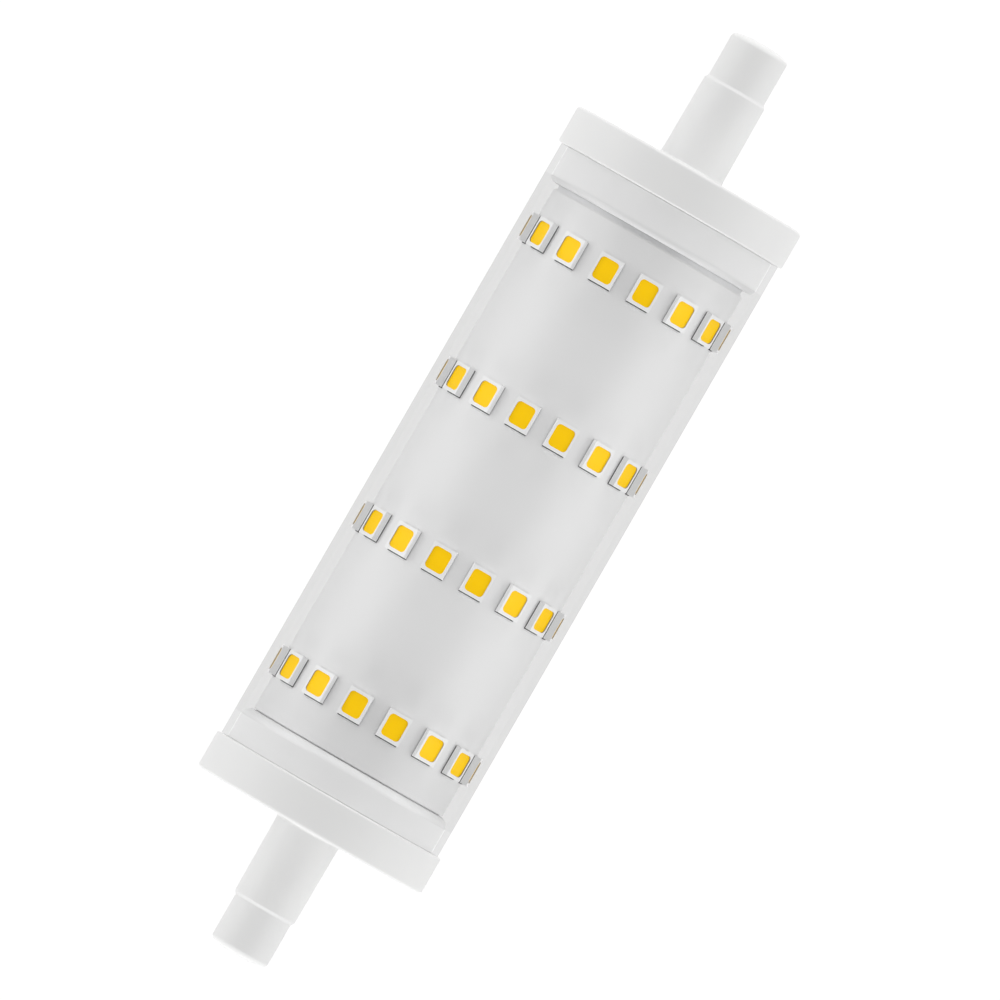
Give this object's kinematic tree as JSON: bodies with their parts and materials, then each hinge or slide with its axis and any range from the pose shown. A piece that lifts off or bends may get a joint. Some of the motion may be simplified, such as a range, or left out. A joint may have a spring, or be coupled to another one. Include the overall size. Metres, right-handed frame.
{
  "type": "linear led bulb",
  "caption": "Double-ended linear LED lamp: a clear tube between two white moulded caps with recessed end contacts, and a board of LEDs wrapped round an inner carrier.",
  "frame": {"origin": "the middle of the lamp, on the axis of its tube", "axes": "+X along the lamp towards its right end, +Z towards the side that faces up, away from the board's seam"},
  "size_m": [0.118, 0.029, 0.029],
  "materials": {
    "clear_cover": "clear, polished",
    "white_moulding": "fine satin moulded face",
    "contact_metal": "nickel plated",
    "carrier_aluminium": "plain drawn",
    "insulating_film": "translucent film",
    "white_board": "white solder mask",
    "driver_laminate": "green solder mask",
    "solder": "bright solder",
    "lead_insulation": "smooth insulation",
    "red_insulation": "smooth insulation",
    "black_insulation": "smooth insulation",
    "resistor_coating": "cement coating",
    "varistor_coating": "dipped coating",
    "film_case": "moulded case",
    "capacitor_sleeve": "shrunk sleeve",
    "ferrite": "sintered",
    "copper_wire": "enamelled wire",
    "black_epoxy": "moulded epoxy",
    "chip_ceramic": "ceramic body",
    "led_housing": "white moulded housing",
    "led_phosphor": "yellow silicone filling"
  },
  "bodies": {
    "root": {"bridge_rectifier": "black_epoxy", "bulk_capacitor": "capacitor_sleeve", "carrier_tube": "carrier_aluminium", "chip_capacitors": "chip_ceramic", "chip_resistors": "chip_ceramic", "choke_core": "ferrite", "choke_winding": "copper_wire", "clear_cover": "clear_cover", "contact_left": "contact_metal", "contact_right": "contact_metal", "driver_board": "driver_laminate", "driver_chip": "black_epoxy", "driver_sleeve": "insulating_film", "end_cap_left": "white_moulding", "end_cap_right": "white_moulding", "film_capacitor": "film_case", "freewheel_diode": "black_epoxy", "fusible_resistor": "resistor_coating", "lead_solder_joints": "solder", "led_board": "white_board", "led_lead_negative": "black_insulation", "led_lead_positive": "red_insulation", "led_packages_1": "led_housing", "led_packages_2": "led_housing", "led_packages_3": "led_housing", "led_packages_4": "led_housing", "led_phosphor_1": "led_phosphor", "led_phosphor_2": "led_phosphor", "led_phosphor_3": "led_phosphor", "led_phosphor_4": "led_phosphor", "mains_lead_left": "lead_insulation", "mains_lead_right": "lead_insulation", "output_capacitor": "capacitor_sleeve", "varistor": "varistor_coating"}
  },
  "joints": []
}
